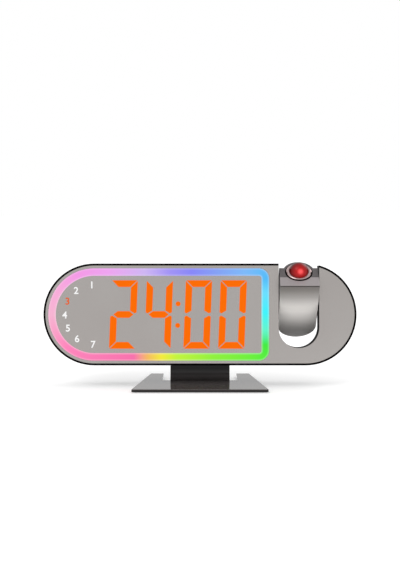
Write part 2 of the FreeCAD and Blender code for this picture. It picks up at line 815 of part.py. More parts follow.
def on_board(x, z, half_x, half_z, height):
    return brick(f"{x} - {half_x}", f"{x} + {half_x}", main_back_y, f"{main_back_y} + {height}",
                 f"{z} - {half_z}", f"{z} + {half_z}")


switches = []
for x, z in switch_points:
    case = on_board(x, z, "switch_half", "switch_half", "switch_height")
    switches.append(minus(case, rod(x, f"{main_back_y} + 1", z, "1.7", "switch_height")))
keep(group(switches), "key_switches", in_body)
chips = [brick("-38", "-28", "main_board_y - 1.4", "main_board_y", "-10", "0")]
chips.append(brick("-14", "-8", "main_board_y - 1.2", "main_board_y", "8", "12"))
keep(group(chips), "control_chips", in_body)
keep(group([brick("-4", "20", board_back_y, "main_board_y", "-24", "-20")]), "board_header", in_body)
capacitors = [rod(x, main_back_y, "18", "2.5", "6") for x in ("18", "26")]
keep(group(capacitors), "capacitors", in_body)
crystal = rod("-24", f"{main_back_y} + 1.5", "-18", "1.5", "8", axis="x")
keep(group([crystal]), "clock_crystal", in_body)
buzzer = minus(rod("buzzer_x", main_back_y, "buzzer_z", "buzzer_radius", "6.5"),
               rod("buzzer_x", f"{main_back_y} + 5.5", "buzzer_z", "1", "2"))
keep(buzzer, "buzzer", in_body)
socket_depth = f"({back_wall} - {main_back_y} - 0.2)"
socket_case = on_board("socket_x", "socket_z", "socket_half", "socket_half", socket_depth)
socket_neck = rod("socket_x", f"{back_wall} - 1", "socket_z", "socket_half - fit_gap", "wall + 0.6")
socket_bore = rod("socket_x", f"{main_back_y} + 1.5", "socket_z", "plug_radius", "cover_depth")
socket_pin = rod("socket_x", f"{main_back_y} + 1", "socket_z", "plug_pin", "7")
socket_shell = minus(fuse(socket_case, socket_neck), socket_bore)
keep(fuse(socket_shell, socket_pin), "power_socket", in_body)
holder_body = rod("cap_x", main_back_y, "cap_z", "cell_radius + 1.4", "4")
holder = minus(holder_body, rod("cap_x", f"{main_back_y} + 1.5", "cap_z", "cell_radius + 0.2", "6"))
keep(holder, "cell_holder", in_body)
cell = fuse(rod("cap_x", f"{main_back_y} + 1.5", "cap_z", "cell_radius - 1", "0.6"),
            rod("cap_x", f"{main_back_y} + 2.1", "cap_z", "cell_radius", "cell_thick - 0.6"))
keep(cell, "coin_cell", in_body)

# Twist cap over the coin cell: a disc with a coin slot and two lugs under the cover's wall
cap_disc = rod("cap_x", f"{back_wall} - 0.3", "cap_z", "cap_radius", "wall + 0.3")
lugs = brick("cap_x - 2.6", "cap_x + 2.6", f"{back_wall} - 1.5", f"{back_wall} - 0.3",
             "cap_z - cap_radius - 1.6", "cap_z + cap_radius + 1.6")
coin_slot = brick("cap_x - 7", "cap_x + 7", f"{back_y} - 1.2", f"{back_y} + 1", "cap_z - 0.9", "cap_z + 0.9")
keep(minus(fuse(cap_disc, lugs), coin_slot), "battery_cap", in_body)

# Keys: an oval cap through the cover, a flange behind it and a stem into its switch
flange_y = f"({back_wall} - 2.0)"
for name, (x, z) in zip(key_names, switch_points):
    key = new_body(name + "_body")
    cap = block(key, rectangle, f"{back_wall} - 1.2", "wall + 1.2 + key_proud", left=f"{x} - key_half_length",
                right=f"{x} + key_half_length", low=f"{z} - key_half_height", high=f"{z} + key_half_height")
    oval = round_edges(key, cap, "key_half_height - 0.1", runs_along("y"))
    bevel_edges(key, oval, "key_bevel", at_depth(f"{back_y} + key_proud"))
    block(key, rectangle, flange_y, "1.2",
          left=f"{x} - key_half_length - 1", right=f"{x} + key_half_length + 1",
          low=f"{z} - key_half_height - 1", high=f"{z} + key_half_height + 1")
    block(key, circle, f"{main_back_y} + 1.8", f"{flange_y} - {main_back_y} - 1.8", x=x, y=z, radius="1.6")
    keep(key, name, in_body)

# Snooze bar in the top of the cover, with a stem down to each of its two switches


def upwards(body, shape, height, length, **sizes):
    """Pads one outline, drawn flat, upwards from a height."""
    sketch = new_sketch(body, "XY_Plane", height)
    shape(sketch, **sizes)
    return pad(body, sketch, length, towards_back=False)


bar = new_body("snooze_bar_body")
bar_block = upwards(bar, rectangle, f"{inner_radius} - 0.5", "wall + 0.5",
                    left="-snooze_half", right="snooze_half",
                    low="snooze_y - snooze_half_width", high="snooze_y + snooze_half_width")
round_edges(bar, bar_block, "snooze_half_width - 0.1", runs_along("z"))
upwards(bar, rectangle, f"{inner_radius} - 2.2", "1.8", left="-snooze_half - 1", right="snooze_half + 1",
        low="snooze_y - snooze_half_width - 0.9", high="snooze_y + snooze_half_width + 0.9")
for x in ("-12", "12"):
    upwards(bar, circle, "26", f"{inner_radius} - 2.2 - 26", x=x, y="snooze_y", radius="1.2")
keep(bar, "snooze_bar", in_body)
snooze_cases = [on_board(x, "22.4", "3", "2.4", "3.4") for x in ("-12", "12")]
keep(group(snooze_cases), "snooze_switches", in_body)

# Projector: two shells that clamp the pivot pins, drawn upright about the pivot's axis.
# Its front and rear both curve in towards the tongue's tip, so that the tip clears the slot.

tip_z = "(slot_z - pivot_z - head_half_width)"
drop = f"(curve_start - {tip_z})"
front_radius = f"({drop} ^ 2 / (2 * (head_front - tip_half)) + (head_front - tip_half) / 2)"
rear_radius = f"({drop} ^ 2 / (2 * (head_rear - tip_half)) + (head_rear - tip_half) / 2)"


def head_shell(name, near, thick, side, depth, radius):
    shell_body = new_body(name)
    block(shell_body, open_slot, near, thick, x="0", z="slot_z - pivot_z", radius="head_half_width",
          top="head_top")
    turn = f"-{radius}" if side > 0 else radius
    far = f"{side} * ({depth} + 20)"
    corners = [(f"{side} * {depth}", "curve_start", turn), (f"{side} * tip_half", tip_z)]
    corners += [(f"{side} * tip_half", f"{tip_z} - 5"), (far, f"{tip_z} - 5"), (far, "curve_start")]
    across(shell_body, polygon, "head_half_width * 4", additive=False, corners=corners)
    return shell_body


def cavity(body, near, length, low, top):
    sketch = face_sketch(body, near)
    rectangle(sketch, "-head_half_width + 1.8", "head_half_width - 1.8", low, top)
    pocket(body, sketch, length)


def bore_along_z(body, y, low, high, radius, additive=False):
    kind = "PartDesign::AdditiveCylinder" if additive else "PartDesign::SubtractiveCylinder"
    feature = body.newObject(kind, "Barrel")
    bind(feature, Radius=radius, Height=f"({high}) - ({low})")
    bind(feature, Placement__Base__y=y, Placement__Base__z=low)
    doc.recompute()


def pin_bore(body):
    turned_cylinder(body, "PartDesign::SubtractiveCylinder", "-2 * head_half_width", "pin_radius",
                    "4 * head_half_width")


front_shell = head_shell("front_shell", "-head_front", "head_front", -1, "head_front", front_radius)
cavity(front_shell, "-head_front + 2.2", "head_front", "-10", "head_top - 2")
bore_along_z(front_shell, "lens_y", "1.5", "head_top + 2", bore_radius)
pin_bore(front_shell)
keep(front_shell, "projector_front_shell", in_projector)

rear_shell = head_shell("rear_shell", "0", "head_rear", 1, "head_rear", rear_radius)
bore_along_z(rear_shell, "lens_y", "barrel_low - 2", "head_top", barrel_radius, additive=True)
front_cut = face_sketch(rear_shell, "-head_front - 10")
rectangle(front_cut, "-2 * head_half_width", "2 * head_half_width", "-50", "50")
pocket(rear_shell, front_cut, "head_front + 10")
bore_along_z(rear_shell, "lens_y", "1.5", "head_top + 2", bore_radius)
bore_along_z(rear_shell, "lens_y", "barrel_low", "2", "lens_radius + 1")
pin_bore(rear_shell)
tip_holes = [("-6", "-17"), ("6", "-17")]
holes(rear_shell, tip_holes, "screw_radius + fit_gap", "-1", "head_rear + 4")
holes(rear_shell, tip_holes, "screw_head + fit_gap", "4", "head_rear")
holes(front_shell, tip_holes, "screw_radius", "-3.5", "5")
keep(rear_shell, "projector_rear_shell", in_projector)
keep(group([screw(x, "4", z, "7") for x, z in tip_holes]), "projector_screws", in_projector)

# Optics along the lens axis, from the light source up to the red dome
focus = new_body("focus")
spun(focus, [("lens_radius + fit_gap / 2", "head_top - 9.6"), (f"{bore_radius} - pin_run", "head_top - 9.6"),
             (f"{bore_radius} - pin_run", "head_top - 7"), (f"{focus_radius}", "head_top - 7"),
             (f"{focus_radius}", "head_top + 0.6"), (f"{focus_radius} - 0.5", "head_top + 1"),
             ("lens_radius + fit_gap / 2", "head_top + 1")])
dome = new_body("dome")
spun(dome, [("0", "head_top - 8.5"), ("lens_radius", "head_top - 8.5"),
            ("lens_radius", "head_top", "lens_radius"), ("0", "head_top + lens_radius")])


def on_lens_axis(part):
    in_projector(part)
    bind(part, Placement__Base__y=f"{pivot_across} + lens_y * cos(rest_tilt - lean)")
    bind(part, Placement__Base__z=f"{pivot_up} + lens_y * sin(rest_tilt - lean)")


keep(focus, "focus_ring", on_lens_axis)
keep(dome, "projection_lens", on_lens_axis)
seat = minus(rod("0", "0", "1.5", f"{bore_radius}", "head_top - 9.7 - 1.5", axis="z"),
             rod("0", "0", "0", "5", "head_top", axis="z"))
keep(seat, "optics_tube", on_lens_axis)
condenser = doc.addObject("Part::Common", "Condenser")
lens_ball = doc.addObject("Part::Sphere", "Ball")
bind(lens_ball, Radius="condenser_curve", Placement__Base__z="1 - condenser_curve")
condenser.Base = lens_ball
condenser.Tool = rod("0", "0", "-2.5", "lens_radius + 0.9", "6", axis="z")
keep(condenser, "condenser_lens", on_lens_axis)
keep(group([rod("0", "0", "5", "4.95", "1.1", axis="z")]), "time_slide", on_lens_axis)
keep(group([rod("0", "0", "barrel_low", "lens_radius + 0.9", "1.2", axis="z")]), "lamp_board", on_lens_axis)
lamp = fuse(brick("-1.8", "1.8", "-1.8", "1.8", "barrel_low + 1.2", "barrel_low + 2.6"),
            rod("0", "0", "barrel_low + 2.6", "1.3", "0.8", axis="z"))
keep(lamp, "projector_led", on_lens_axis)

# Pivot pins turn with the projector in bushes pressed into the slot's walls
pin_length = "slot_radius + 5.5 - head_half_width + 1.8"
right_pin = group([rod("head_half_width - 1.8", "0", "0", "pin_radius", f"{pin_length} + 1.6", axis="x")])
keep(right_pin, "pivot_pin_right", in_projector)
left_solid = rod("-(slot_radius + 5.5)", "0", "0", "pin_radius", pin_length, axis="x")
left_pin = minus(left_solid, rod("-(slot_radius + 8)", "0", "0", "1.2", "20", axis="x"))
keep(left_pin, "pivot_pin_left", in_projector)


def bush(start):
    outside = rod(f"slot_x + {start}", "pivot_y", "pivot_z", bush_radius, "bush_length", axis="x")
    inside = rod(f"slot_x + {start} - 1", "pivot_y", "pivot_z", "pin_radius + pin_run", "8", axis="x")
    return minus(outside, inside)


keep(bush("slot_radius + 0.1"), "pivot_bush_right", in_body)
keep(bush("(-slot_radius - 5.5)"), "pivot_bush_left", in_body)
clip_start = "(slot_radius + 5.6)"
washer = minus(rod(clip_start, "0", "0", "4.4", "0.5", axis="x"),
               rod(clip_start, "0", "0", "pin_radius", "1", axis="x"))
keep(washer, "friction_washer", in_projector)
clip = minus(rod(f"{clip_start} + 0.5", "0", "0", "3.8", "0.8", axis="x"),
             rod(clip_start, "0", "0", "pin_radius", "2", axis="x"))
keep(clip, "pin_clip", in_projector)

# Stand: a plate whose middle tab is bent up into the neck, with a thin rubber mat below

turn_y = f"(neck_y * cos(lean) + ({plate_top} - {face_z} + neck_y * sin(lean)) * tan(lean))"
bend_run = "(bend_radius * tan((90 - lean) / 2))"
bend_y = f"({turn_y} - {bend_run})"
neck_end_y = "(neck_y * cos(lean) + neck_top * sin(lean))"
neck_end_z = f"({face_z} - neck_y * sin(lean) + neck_top * cos(lean))"
stand = new_body("stand_sheet")
half_plate = [("stand_front_half", "-base_front"), ("stand_rear_half", "base_rear")]
half_plate += [("notch_half", "base_rear"), ("notch_half", "notch_y"), ("neck_half", "notch_y")]
mirrored = [(f"-{x}", y) for x, y in reversed(half_plate)]
upwards(stand, polygon, "mat_thick", "sheet_thick", corners=half_plate + mirrored)
neck_profile = [
    (f"{bend_y} - 8", plate_top), (f"{bend_y} - 8", "mat_thick"),
    (bend_y, "mat_thick", "bend_radius + sheet_thick"),
    (f"{turn_y} + {bend_run} * sin(lean) + sheet_thick * cos(lean)",
     f"{plate_top} + {bend_run} * cos(lean) - sheet_thick * sin(lean)"),
    (f"{neck_end_y} + sheet_thick * cos(lean)", f"{neck_end_z} - sheet_thick * sin(lean)"),
    (neck_end_y, neck_end_z),
    (f"{turn_y} + {bend_run} * sin(lean)", f"{plate_top} + {bend_run} * cos(lean)", "-bend_radius"),
    (bend_y, plate_top),
]
across(stand, polygon, "2 * neck_half", additive=True, corners=neck_profile)
on_floor(stand)
doc.recompute()
neck_holes = []
for x, z in neck_points:
    neck_holes.append(rod(x, "neck_y - 2", z, "screw_radius", "sheet_thick + 4"))
hole_group = gather("Part::MultiFuse", neck_holes)
in_body(hole_group)
drilled = minus(stand, hole_group)
drilled.Label = "stand"
parts.append(drilled)

mat = new_body("mat_sheet")
mat_front = ("stand_front_half - mat_inset", "-base_front + mat_inset")
mat_rear = ("stand_rear_half - mat_inset / 2", "notch_y - mat_inset")
mirrored = [(f"-({x})", y) for x, y in (mat_rear, mat_front)]
upwards(mat, polygon, "0", "mat_thick", corners=[mat_front, mat_rear] + mirrored)
keep(mat, "anti_slip_mat", on_floor)
for side, name in ((-1, "left_wing_pad"), (1, "right_wing_pad")):
    low, high = sorted([f"{side} * (notch_half + 1.5)", f"{side} * (stand_rear_half - 1.5)"], key=size)
    keep(brick(low, high, "base_rear - 12", "base_rear - 2", "0", "mat_thick"), name, on_floor)
    bind(parts[-1], Placement__Base__x=low,
         Placement__Base__y="base_rear - 12 + (base_front - base_rear) / 2")

# Every object must be up to date and every sub-part sound before anything is written
doc.recompute()
problems = [item.Name for item in doc.Objects if {"Invalid", "Error"} & set(item.State)]
for part in parts:
    if part.Shape.isNull() or not part.Shape.isValid() or not part.Shape.Solids:
        problems.append(part.Label)
if problems:
    sys.exit("not sound: " + ", ".join(problems))

os.makedirs("parts", exist_ok=True)
for part in parts:
    part.Shape.exportStep(f"parts/{part.Label}.step")
print(len(parts), "sub-parts,", sum(len(part.Shape.Solids) for part in parts), "solids")
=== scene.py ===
import math

import bpy
from mathutils import Matrix, Vector


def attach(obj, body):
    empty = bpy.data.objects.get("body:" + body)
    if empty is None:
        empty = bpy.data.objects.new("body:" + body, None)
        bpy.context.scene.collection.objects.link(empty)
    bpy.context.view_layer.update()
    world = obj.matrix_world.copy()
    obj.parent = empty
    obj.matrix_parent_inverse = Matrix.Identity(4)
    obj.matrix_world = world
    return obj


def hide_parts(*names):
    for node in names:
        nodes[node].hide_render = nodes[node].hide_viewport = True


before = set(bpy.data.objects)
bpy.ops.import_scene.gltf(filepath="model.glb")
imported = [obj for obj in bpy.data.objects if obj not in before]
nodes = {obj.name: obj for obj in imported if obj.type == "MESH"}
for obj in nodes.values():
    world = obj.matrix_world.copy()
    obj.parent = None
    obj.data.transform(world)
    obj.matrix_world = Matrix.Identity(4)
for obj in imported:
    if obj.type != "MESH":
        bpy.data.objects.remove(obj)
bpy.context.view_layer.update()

MM = 0.001

# The leaning face: its centre, and the frame that its pieces are drawn in
LEAN = math.radians(5.0)
FACE_CENTRE = Vector((0.0, -7.4, 48.0)) * MM
IN_BODY = Matrix.Translation(FACE_CENTRE) @ Matrix.Rotation(-LEAN, 4, "X")

# The projector's pivot and tilt, as in the frame
PIVOT = IN_BODY @ (Vector((65.1, 8.8, 10.6)) * MM)
TILT = math.radians(35.0)
IN_PROJECTOR = Matrix.Translation(PIVOT) @ Matrix.Rotation(TILT, 4, "X")

# Light ring, in millimetres on the face: its middle line is a half circle on the left,
# two straight runs, and two small corners with a straight side on the right
RING_END_X = -69.5
RING_SIDE_X = 43.05
RING_MIDDLE = 27.95
RING_CORNER = 4.35
RING_HALF_WIDTH = 2.45
RING_CORNER_X = RING_SIDE_X - RING_CORNER
RING_CORNER_Z = RING_MIDDLE - RING_CORNER
RING_QUARTER = math.pi / 2 * RING_MIDDLE
RING_RUN = RING_CORNER_X - RING_END_X
RING_BEND = math.pi / 2 * RING_CORNER
RING_LENGTH = 2 * (RING_QUARTER + RING_RUN + RING_BEND + RING_CORNER_Z)

# The ring's hues: millimetres along its middle line from the left end, by way of the bottom
RING_HUES = [
    (0, "#f7b0d0"), (24, "#ff7cb9"), (70, "#f864a8"), (79, "#f5b84c"), (88, "#f4ea00"), (98, "#bef400"),
    (122, "#86f000"), (150, "#54f000"), (163, "#14ea18"), (172, "#50f6c8"), (184, "#08f2fb"),
    (197, "#5cdcff"), (206, "#3ab8f8"), (222, "#72b6fa"), (240, "#7a9cf4"), (257, "#7e7ef8"),
    (272, "#9c8cf5"), (288, "#ccb2f3"), (312, "#ee9ef0"), (332, "#f592e6"), (350, "#f8a8d8"),
    (RING_LENGTH, "#f7b0d0"),
]

# How far the ring pales: at its two edges, and along its middle
RING_PALING = [(0.0, 0.30), (0.25, 0.05), (0.75, 0.05), (1.0, 0.30)]

# Plain numerals where the days of the week are marked: (x, z) on the face, in millimetres
DAY_PLACES = [
    (-71.2, 19.2), (-81.5, 15.5), (-87.2, 8.5), (-89.0, -0.6), (-86.9, -9.2), (-80.9, -16.2), (-70.4, -19.9),
]
CHOSEN_DAY = 3
NUMERAL_HEIGHT = 4.6
NUMERAL_THICKNESS = 0.02
NUMERAL_WEIGHT = 0.12
NUMERAL_STAND_OFF = 0.03
# The share of the font's size that its figures fill
FIGURE_SHARE = 0.72

# Stand: millimetres above the table, and the painted reflection on the sheet there: a grey painted
# reflection where it lies flat, near black up the neck where it would mirror the clock's dark underside
NECK_PAINTED_DARK = 14.0
STAND_PAINTED_REFLECTION = [
    (0.0, "#0c0a0a"), (1.6, "#141111"), (2.3, "#544f4e"), (4.5, "#625e5e"), (9.0, "#141212"),
    (NECK_PAINTED_DARK, "#010101"),
]

# Dome: the centre of its painted highlight, how far the painted highlight and glow fade into painted shade
# down its sides, and its reds as shares of that reach
DOME_HIGHLIGHT_CENTRE = IN_PROJECTOR @ (Vector((0.6, 0.4, 22.6)) * MM)
DOME_HIGHLIGHT_REACH = 8.0
DOME_PAINTED_HIGHLIGHT_REDS = [(0.0, "#ff5a5c"), (0.3, "#a30d10"), (0.62, "#7c0203"), (1.0, "#3a0102")]

# Projector's front shell: millimetres above the pivot, and the painted reflection and shade in the lacquer's
# colour there
SHELL_LOW = -32.0
SHELL_TOP = 18.2
SHELL_PAINTED_REFLECTION = [
    (SHELL_LOW, "#b4afac"), (-22.0, "#e0dcd8"), (-12.0, "#fbf7f3"), (-5.0, "#fcf8f4"), (0.0, "#e8e4e0"),
    (4.0, "#c7c3c0"), (8.0, "#a5a19e"), (14.0, "#7b7773"), (17.2, "#6d6865"), (17.4, "#28231f"),
    (18.0, "#28231f"), (SHELL_TOP, "#968f90"),
]

# Copies of CAD pieces: corners closer than this are one point, and edges flatter than this are dissolved
MERGE = 0.002
FLAT_ANGLE = math.radians(0.5)
SHARP_ANGLE = math.radians(35)
# A face whose normal is this near to the panel's own is its front
FRONT_FACING = 0.9

# Camera, square to the leaning face
CAMERA_DISTANCE = 760.0
CAMERA_RISE = 19.4
PIXEL_MM = 0.658
IMAGE_WIDTH = 400
SENSOR_WIDTH = 36.0

# Studio, in metres and watts
FLOOR_SIZE = 8.0
FLOOR_GLOW = 0.34
ROOM_LIGHT = 0.8
LIGHT_AIM = Vector((0, 0, 0.04))


def linear(code):
    """An sRGB hex colour as linear red, green, blue and alpha."""
    channels = [int(code[i:i + 2], 16) / 255 for i in (1, 3, 5)]
    return [c / 12.92 if c <= 0.04045 else ((c + 0.055) / 1.055) ** 2.4 for c in channels] + [1.0]


# Materials

def new_material(name):
    material = bpy.data.materials.new(name)
    material.use_nodes = True
    material.node_tree.nodes.clear()
    return material


def add(owner, kind, links=None, stops=None, **settings):
    """Adds a node. A setting is an input's value or, where it has no such input, a property of the node.
    Stops are the places and colours of a colour ramp."""
    node = owner.node_tree.nodes.new("ShaderNode" + kind)
    for name, value in settings.items():
        label = name.replace("_", " ")
        if label in node.inputs:
            node.inputs[label].default_value = value
        else:
            setattr(node, name, value)
    for label, source in (links or {}).items():
        owner.node_tree.links.new(source, node.inputs[label])
    if stops:
        colours = node.color_ramp.elements
        colours[0].position, colours[0].color = stops[0]
        colours[1].position, colours[1].color = stops[-1]
        for place, colour in stops[1:-1]:
            colours.new(place).color = colour
    return node


def finish_material(material, shader):
    add(material, "OutputMaterial", {"Surface": shader.outputs[0]})
    return material


def fine_bump(material, size_mm, depth_mm):
    """Noise bump at a real size, on the piece's own coordinates."""
    where = add(material, "TexCoord")
    noise = add(material, "TexNoise", {"Vector": where.outputs["Object"]},
                Scale=1.0 / (size_mm * MM), Detail=2.0)
    bump = add(material, "Bump", {"Height": noise.outputs["Fac"]}, Distance=depth_mm * MM, Strength=0.6)
    return noise, bump


def finish(name, low, high, grain, depth, **settings):
    """A moulded or metal finish: a colour that wanders a little between two hex values, a fine bump
    (grain and depth in millimetres) and a set gloss."""
    material = new_material(name)
    noise, bump = fine_bump(material, grain, depth)
    colour = add(material, "ValToRGB", {"Fac": noise.outputs["Fac"]},
                 stops=[(0.35, linear(low)), (0.65, linear(high))])
    shader = add(material, "BsdfPrincipled",
                 {"Base Color": colour.outputs["Color"], "Normal": bump.outputs["Normal"]}, **settings)
    return finish_material(material, shader)


def lit(name, code, strength=1.0):
    """A glowing surface that shows its colour as written, a touch dimmer in patches."""
    material = new_material(name)
    where = add(material, "TexCoord")
    noise = add(material, "TexNoise", {"Vector": where.outputs["Object"]}, Scale=260.0, Detail=1.0)
    bright = linear(code)
    dim = [c * 0.96 for c in bright[:3]] + [1.0]
    glow = add(material, "ValToRGB", {"Fac": noise.outputs["Fac"]}, stops=[(0.0, dim), (1.0, bright)])
    shader = add(material, "BsdfPrincipled", {"Emission Color": glow.outputs["Color"]},
                 Base_Color=linear("#000000"), Roughness=0.4, Specular_IOR_Level=0.0,
                 Emission_Strength=strength)
    return finish_material(material, shader)


# Half-mirror acrylic: a smoked metal film under clear plastic, so it is grey and quietly reflective
mirror_acrylic = finish("mirror_acrylic", "#a39e9b", "#a7a3a0", 60, 0.0, Metallic=0.85, Roughness=0.22)
# Moulded black ABS off a polished tool: near black, with a sheen only at grazing angles
gloss_black = finish("gloss_black_abs", "#020101", "#040303", 3, 0.001, Roughness=0.5, IOR=1.06)
# Black ABS off a spark-eroded tool: a fine grain that greys it under the light
grained_black = finish("grained_black_abs", "#161515", "#1e1d1d", 0.5, 0.02, Roughness=0.52, IOR=1.4)
# Moulded soft-touch keys: darker and duller than the cover round them
key_black = finish("soft_black_key", "#0d0d0d", "#141414", 0.4, 0.01, Roughness=0.62)
# Graphite lacquer sprayed over ABS: a warm grey with a metal glint
graphite = finish("graphite_lacquer", "#565152", "#625d5e", 0.25, 0.003, Metallic=0.5, Roughness=0.4)
# Turned and plated ring: pale metal, with the dome's red reflection painted into its colour as a pink tint
ring_painted_red_reflection = finish("turned_ring_painted_red_reflection", "#a89190", "#b7a1a0", 0.3, 0.002, Metallic=1.0, Roughness=0.24)
# Moulded white ABS: a bright matt white that throws light back
white_plastic = finish("white_reflector_abs", "#e4e3df", "#ecebe7", 1.5, 0.004, Roughness=0.5)
# Circuit board under its printed green resist: smooth and slightly wet-looking
solder_mask = finish("green_solder_mask", "#0e4a2a", "#135533", 2.0, 0.004, Roughness=0.35)
# Zinc-plated steel: a pale, slightly cloudy metal
zinc_steel = finish("zinc_plated_steel", "#8f9092", "#a3a4a6", 0.3, 0.004, Metallic=1.0, Roughness=0.32)
# Moulded grey rubber: dull, with no highlight to speak of
rubber_grey = finish("grey_rubber", "#232323", "#2b2b2b", 0.3, 0.02, Roughness=0.85)
# Natural nylon: waxy cream white
nylon = finish("natural_nylon", "#ddd8c8", "#e6e1d2", 1.0, 0.004, Roughness=0.45)
# Polished clear acrylic: glassy, and a shade blue
clear_lens = finish("clear_acrylic_lens", "#f2f6fa", "#f8fbff", 4, 0.0, Roughness=0.03, IOR=1.49,
                    Transmission_Weight=0.9)

# Lit print and segments, each as bright as it is written
orange_light = lit("orange_light", "#ff6e0a")
white_light = lit("white_numeral_light", "#ffffff", 0.96)
amber_light = lit("amber_numeral_light", "#e8622c")


def smoked_sheet():
    """Smoked acrylic sheet, polished, with painted reflection by height: a grey-brown painted reflection
    where it lies flat, and near black up the neck, where it would mirror the clock's dark underside.
    """
    material = new_material("smoked_acrylic_painted_reflection")
    where = add(material, "TexCoord")
    split = add(material, "SeparateXYZ", {"Vector": where.outputs["Object"]})
    rise = add(material, "MapRange", {"Value": split.outputs["Z"]}, From_Max=NECK_PAINTED_DARK * MM)
    shade = add(material, "ValToRGB", {"Fac": rise.outputs["Result"]},
                stops=[(height / NECK_PAINTED_DARK, linear(code)) for height, code in STAND_PAINTED_REFLECTION])
    bump = fine_bump(material, 8, 0.001)[1]
    shader = add(material, "BsdfPrincipled",
                 {"Base Color": shade.outputs["Color"], "Normal": bump.outputs["Normal"]},
                 Roughness=0.08, IOR=1.3)
    return finish_material(material, shader)


def red_dome():
    """Deep red cast acrylic with a painted highlight where the dome bulges and painted shade down its sides;
    its glow stands for the lamp behind it, faded the same way.
    """
    material = new_material("red_acrylic_painted_highlight")
    where = add(material, "TexCoord")
    away = add(material, "VectorMath", {0: where.outputs["Object"]}, operation="DISTANCE")
    away.inputs[1].default_value = DOME_HIGHLIGHT_CENTRE
    spread = add(material, "MapRange", {"Value": away.outputs["Value"]}, From_Max=DOME_HIGHLIGHT_REACH * MM)
    red = add(material, "ValToRGB", {"Fac": spread.outputs["Result"]},
              stops=[(reach, linear(code)) for reach, code in DOME_PAINTED_HIGHLIGHT_REDS])
    shader = add(material, "BsdfPrincipled",
                 {"Base Color": red.outputs["Color"], "Emission Color": red.outputs["Color"]},
                 Roughness=0.3, IOR=1.3, Emission_Strength=0.3)
    return finish_material(material, shader)


def faded_lacquer():
    """Satin silver lacquer with painted reflection and shade along its height: a pale painted reflection of
    the table across the middle, painted light at the downward-facing lower end, painted shade towards the
    top, a dark line where the front meets the end face, and the end face painted darker."""
    material = new_material("silver_lacquer_painted_reflection")
    where = add(material, "TexCoord")
    upright = add(material, "Mapping", {"Vector": where.outputs["Object"]}, vector_type="TEXTURE",
                  Location=PIVOT, Rotation=(TILT, 0, 0))
    split = add(material, "SeparateXYZ", {"Vector": upright.outputs["Vector"]})
    along = add(material, "MapRange", {"Value": split.outputs["Z"]},
                From_Min=SHELL_LOW * MM, From_Max=SHELL_TOP * MM)
    fade = add(material, "ValToRGB", {"Fac": along.outputs["Result"]},
               stops=[((height - SHELL_LOW) / (SHELL_TOP - SHELL_LOW), linear(code))
                      for height, code in SHELL_PAINTED_REFLECTION])
    bump = fine_bump(material, 0.25, 0.002)[1]
    shader = add(material, "BsdfPrincipled",
                 {"Base Color": fade.outputs["Color"], "Normal": bump.outputs["Normal"]},
                 Metallic=0.1, Roughness=0.42)
    return finish_material(material, shader)


def rainbow_diffuser():
    """Milky diffuser lit from behind in a rainbow that runs round it, paler towards both edges."""
    material = new_material("rainbow_diffuser")
    uv = add(material, "UVMap", uv_map="around")
    split = add(material, "SeparateXYZ", {"Vector": uv.outputs["UV"]})
    hue = add(material, "ValToRGB", {"Fac": split.outputs["X"]},
              stops=[(place / RING_LENGTH, linear(code)) for place, code in RING_HUES])
    paling = add(material, "ValToRGB", {"Fac": split.outputs["Y"]},
                 stops=[(place, [amount] * 3 + [1.0]) for place, amount in RING_PALING])
    glow = add(material, "Mix", {"Factor": paling.outputs["Color"], "A": hue.outputs["Color"]},
               data_type="RGBA", B=linear("#f4f0f2"))
    shader = add(material, "BsdfPrincipled", {"Emission Color": glow.outputs["Result"]},
                 Base_Color=linear("#000000"), Roughness=0.4, Specular_IOR_Level=0.05, Emission_Strength=1.0)
    return finish_material(material, shader)


FINISHES = {
    mirror_acrylic: ("fascia_panel", "display_lens"),
    orange_light: ("time_digits",),
    gloss_black: ("front_housing",),
    grained_black: ("rear_cover", "slot_liner", "battery_cap", "key_switches", "snooze_switches",
                    "control_chips", "board_header", "buzzer", "power_socket", "cell_holder", "optics_tube"),
    key_black: ("mode_key", "set_key", "up_key", "down_key", "alarm_key", "snooze_bar"),
    white_plastic: ("digit_reflector", "digit_leds", "ring_leds"),
    solder_mask: ("display_board", "main_board", "lamp_board"),
    zinc_steel: ("display_screws", "housing_screws", "main_board_screws", "stand_screws", "projector_screws",
                 "capacitors", "clock_crystal", "coin_cell", "pivot_pin_left", "pivot_pin_right",
                 "friction_washer", "pin_clip"),
    smoked_sheet(): ("stand",),
    rubber_grey: ("anti_slip_mat", "left_wing_pad", "right_wing_pad"),
    nylon: ("pivot_bush_left", "pivot_bush_right"),
    faded_lacquer(): ("projector_front_shell",),
    graphite: ("projector_rear_shell",),
    clear_lens: ("condenser_lens", "time_slide"),
    ring_painted_red_reflection: ("focus_ring",),
    red_dome(): ("projection_lens", "projector_led"),
    rainbow_diffuser(): ("light_ring",),
}


def dress(piece, material):
    piece.data.materials.clear()
    piece.data.materials.append(material)


for material, names in FINISHES.items():
    for name in names:
        piece = nodes[name]
        if not piece.material_slots:
            piece.data.materials.append(material)
        for slot in piece.material_slots:
            slot.material = material


# Pieces made here

def deselect():
    bpy.ops.object.select_all(action="DESELECT")


def pick(piece):
    deselect()
    piece.select_set(True)
    bpy.context.view_layer.objects.active = piece


def copy_of(name, new_name, flatten=True):
    """A merged copy of a CAD piece in the same finish, to work on further."""
    piece = nodes[name].copy()
    piece.data = nodes[name].data.copy()
    piece.name = new_name
    piece.parent = None
    piece.matrix_world = Matrix.Identity(4)
    bpy.context.scene.collection.objects.link(piece)
    dress(piece, nodes[name].active_material)
    pick(piece)
    bpy.ops.object.mode_set(mode="EDIT")
    bpy.ops.mesh.select_all(action="SELECT")
    bpy.ops.mesh.remove_doubles(threshold=MERGE * MM)
    if flatten:
        bpy.ops.mesh.dissolve_limited(angle_limit=FLAT_ANGLE)
    bpy.ops.object.mode_set(mode="OBJECT")
    return piece


def stand_in(piece, name, body):
    """Puts a finished piece in the place of a CAD node."""
    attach(piece, body)
    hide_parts(name)


